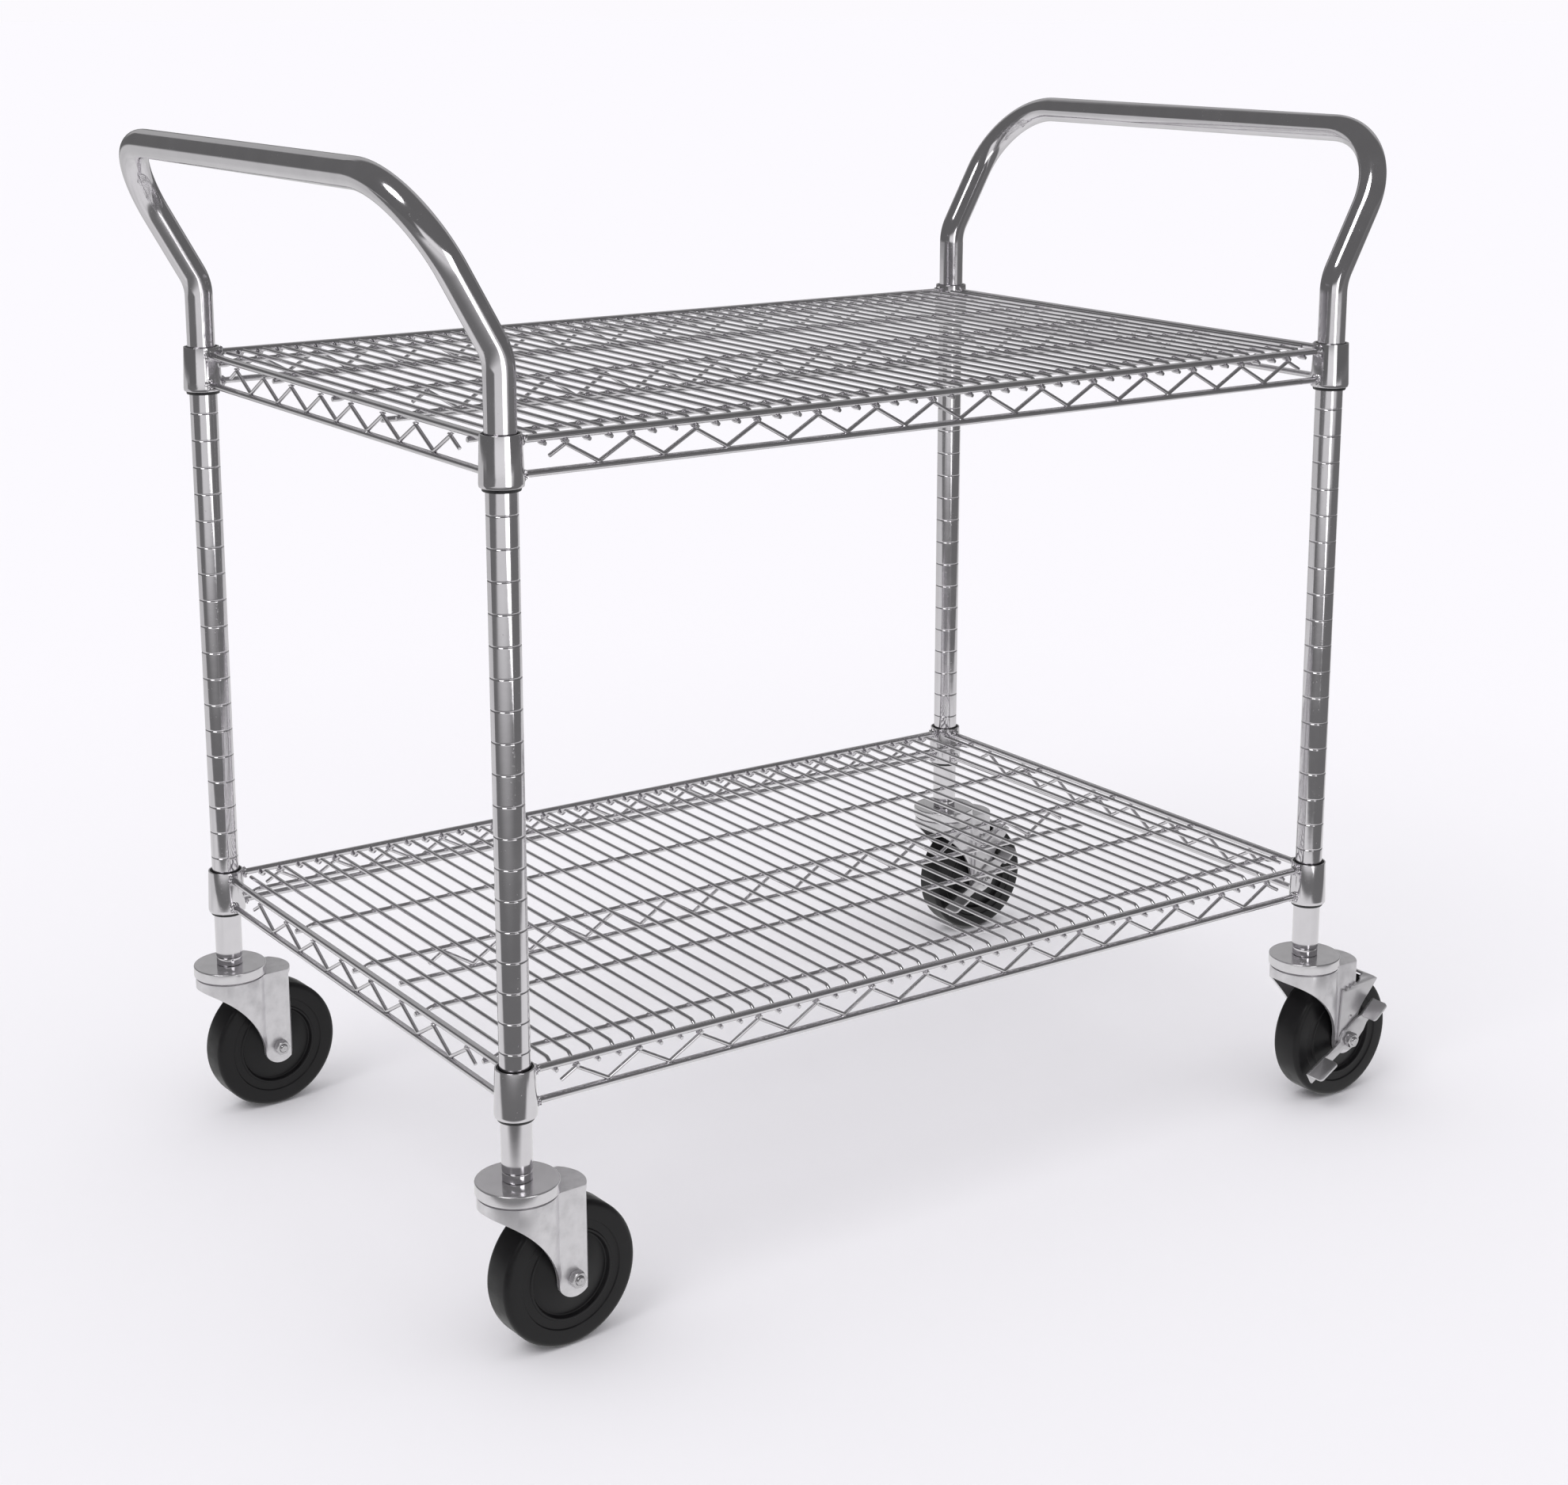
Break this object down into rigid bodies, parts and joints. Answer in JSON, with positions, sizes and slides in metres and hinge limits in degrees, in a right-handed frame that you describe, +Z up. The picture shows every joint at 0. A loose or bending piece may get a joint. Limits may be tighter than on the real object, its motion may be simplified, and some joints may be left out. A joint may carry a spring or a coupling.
{
  "type": "wire shelf cart",
  "caption": "Chromed wire shelf utility cart with an upper and a lower deck, a bent tube handle at each end and swivel casters, with side brakes at one end.",
  "frame": {"origin": "on the floor, in the middle of the whole cart's box at rest", "axes": "+X along the long side towards the end with the brakes, +Y across the cart from the pedals' side to the back, +Z up"},
  "size_m": [1.0693, 0.6536, 0.9603],
  "materials": {
    "chrome": "bright chrome plate, mirror smooth",
    "zinc_plate": "bright zinc plate on pressed steel, satin and faintly mottled",
    "plain_steel": "plain turned steel",
    "black_rubber": "hard black rubber, moulded, satin",
    "black_plastic": "moulded black plastic"
  },
  "bodies": {
    "frame": {"upper_shelf": "chrome", "lower_shelf": "chrome", "left_handle": "chrome", "right_handle": "chrome", "post_front_left": "chrome", "stem_socket_front_left": "plain_steel", "handle_insert_front_left": "plain_steel", "upper_sleeve_front_left": "black_plastic", "lower_sleeve_front_left": "black_plastic", "caster_stem_front_left": "zinc_plate", "caster_plate_front_left": "zinc_plate", "post_back_left": "chrome", "stem_socket_back_left": "plain_steel", "handle_insert_back_left": "plain_steel", "upper_sleeve_back_left": "black_plastic", "lower_sleeve_back_left": "black_plastic", "caster_stem_back_left": "zinc_plate", "caster_plate_back_left": "zinc_plate", "post_front_right": "chrome", "stem_socket_front_right": "plain_steel", "handle_insert_front_right": "plain_steel", "upper_sleeve_front_right": "black_plastic", "lower_sleeve_front_right": "black_plastic", "caster_stem_front_right": "zinc_plate", "caster_plate_front_right": "zinc_plate", "post_back_right": "chrome", "stem_socket_back_right": "plain_steel", "handle_insert_back_right": "plain_steel", "upper_sleeve_back_right": "black_plastic", "lower_sleeve_back_right": "black_plastic", "caster_stem_back_right": "zinc_plate", "caster_plate_back_right": "zinc_plate"},
    "caster_front_left": {"fork_front_left": "zinc_plate", "ball_ring_front_left": "plain_steel", "axle_bolt_front_left": "zinc_plate", "axle_nut_front_left": "zinc_plate", "axle_bush_front_left": "plain_steel"},
    "rolling_wheel_front_left": {"wheel_front_left": "black_rubber"},
    "caster_back_left": {"fork_back_left": "zinc_plate", "ball_ring_back_left": "plain_steel", "axle_bolt_back_left": "zinc_plate", "axle_nut_back_left": "zinc_plate", "axle_bush_back_left": "plain_steel"},
    "rolling_wheel_back_left": {"wheel_back_left": "black_rubber"},
    "caster_front_right": {"fork_front_right": "zinc_plate", "ball_ring_front_right": "plain_steel", "axle_bolt_front_right": "zinc_plate", "axle_nut_front_right": "zinc_plate", "axle_bush_front_right": "plain_steel"},
    "rolling_wheel_front_right": {"wheel_front_right": "black_rubber"},
    "pedal_front_right": {"brake_pedal_front_right": "zinc_plate"},
    "shoe_front_right": {"brake_shoe_front_right": "zinc_plate"},
    "caster_back_right": {"fork_back_right": "zinc_plate", "ball_ring_back_right": "plain_steel", "axle_bolt_back_right": "zinc_plate", "axle_nut_back_right": "zinc_plate", "axle_bush_back_right": "plain_steel"},
    "rolling_wheel_back_right": {"wheel_back_right": "black_rubber"},
    "pedal_back_right": {"brake_pedal_back_right": "zinc_plate"},
    "shoe_back_right": {"brake_shoe_back_right": "zinc_plate"}
  },
  "joints": [
    {"name": "caster_swivel_front_left", "type": "hinge", "parent": "frame", "child": "caster_front_left", "pos_m": [-0.44653, -0.28275, 0.142], "axis": [0, 0, 1], "continuous": true},
    {"name": "wheel_spin_front_left", "type": "hinge", "parent": "caster_front_left", "child": "rolling_wheel_front_left", "pos_m": [-0.40708, -0.28068, 0.0625], "axis": [-0.0523, 0.9986, 0], "continuous": true},
    {"name": "caster_swivel_back_left", "type": "hinge", "parent": "frame", "child": "caster_back_left", "pos_m": [-0.44653, 0.29225, 0.142], "axis": [0, 0, 1], "continuous": true},
    {"name": "wheel_spin_back_left", "type": "hinge", "parent": "caster_back_left", "child": "rolling_wheel_back_left", "pos_m": [-0.40708, 0.29432, 0.0625], "axis": [-0.0523, 0.9986, 0], "continuous": true},
    {"name": "caster_swivel_front_right", "type": "hinge", "parent": "frame", "child": "caster_front_right", "pos_m": [0.43247, -0.28275, 0.142], "axis": [0, 0, 1], "continuous": true},
    {"name": "wheel_spin_front_right", "type": "hinge", "parent": "caster_front_right", "child": "rolling_wheel_front_right", "pos_m": [0.47197, -0.28275, 0.0625], "axis": [0, 1, 0], "continuous": true},
    {"name": "brake_pedal_front_right", "type": "hinge", "parent": "caster_front_right", "child": "pedal_front_right", "pos_m": [0.47197, -0.28275, 0.0625], "axis": [0, 1, 0], "range_deg": [0, 25]},
    {"name": "brake_shoe_front_right", "type": "slide", "parent": "caster_front_right", "child": "shoe_front_right", "axis": [-0.4226, 0, -0.9063], "range_m": [0, 0.0015]},
    {"name": "caster_swivel_back_right", "type": "hinge", "parent": "frame", "child": "caster_back_right", "pos_m": [0.43247, 0.29225, 0.142], "axis": [0, 0, 1], "continuous": true},
    {"name": "wheel_spin_back_right", "type": "hinge", "parent": "caster_back_right", "child": "rolling_wheel_back_right", "pos_m": [0.47197, 0.29225, 0.0625], "axis": [0, 1, 0], "continuous": true},
    {"name": "brake_pedal_back_right", "type": "hinge", "parent": "caster_back_right", "child": "pedal_back_right", "pos_m": [0.47197, 0.29225, 0.0625], "axis": [0, 1, 0], "range_deg": [0, 25]},
    {"name": "brake_shoe_back_right", "type": "slide", "parent": "caster_back_right", "child": "shoe_back_right", "axis": [-0.4226, 0, -0.9063], "range_m": [0, 0.0015]}
  ],
  "couplings": [
    {"joint": "brake_shoe_front_right", "follows": "brake_pedal_front_right", "m_per_rad": 0.003437},
    {"joint": "brake_shoe_back_right", "follows": "brake_pedal_back_right", "m_per_rad": 0.003437}
  ]
}
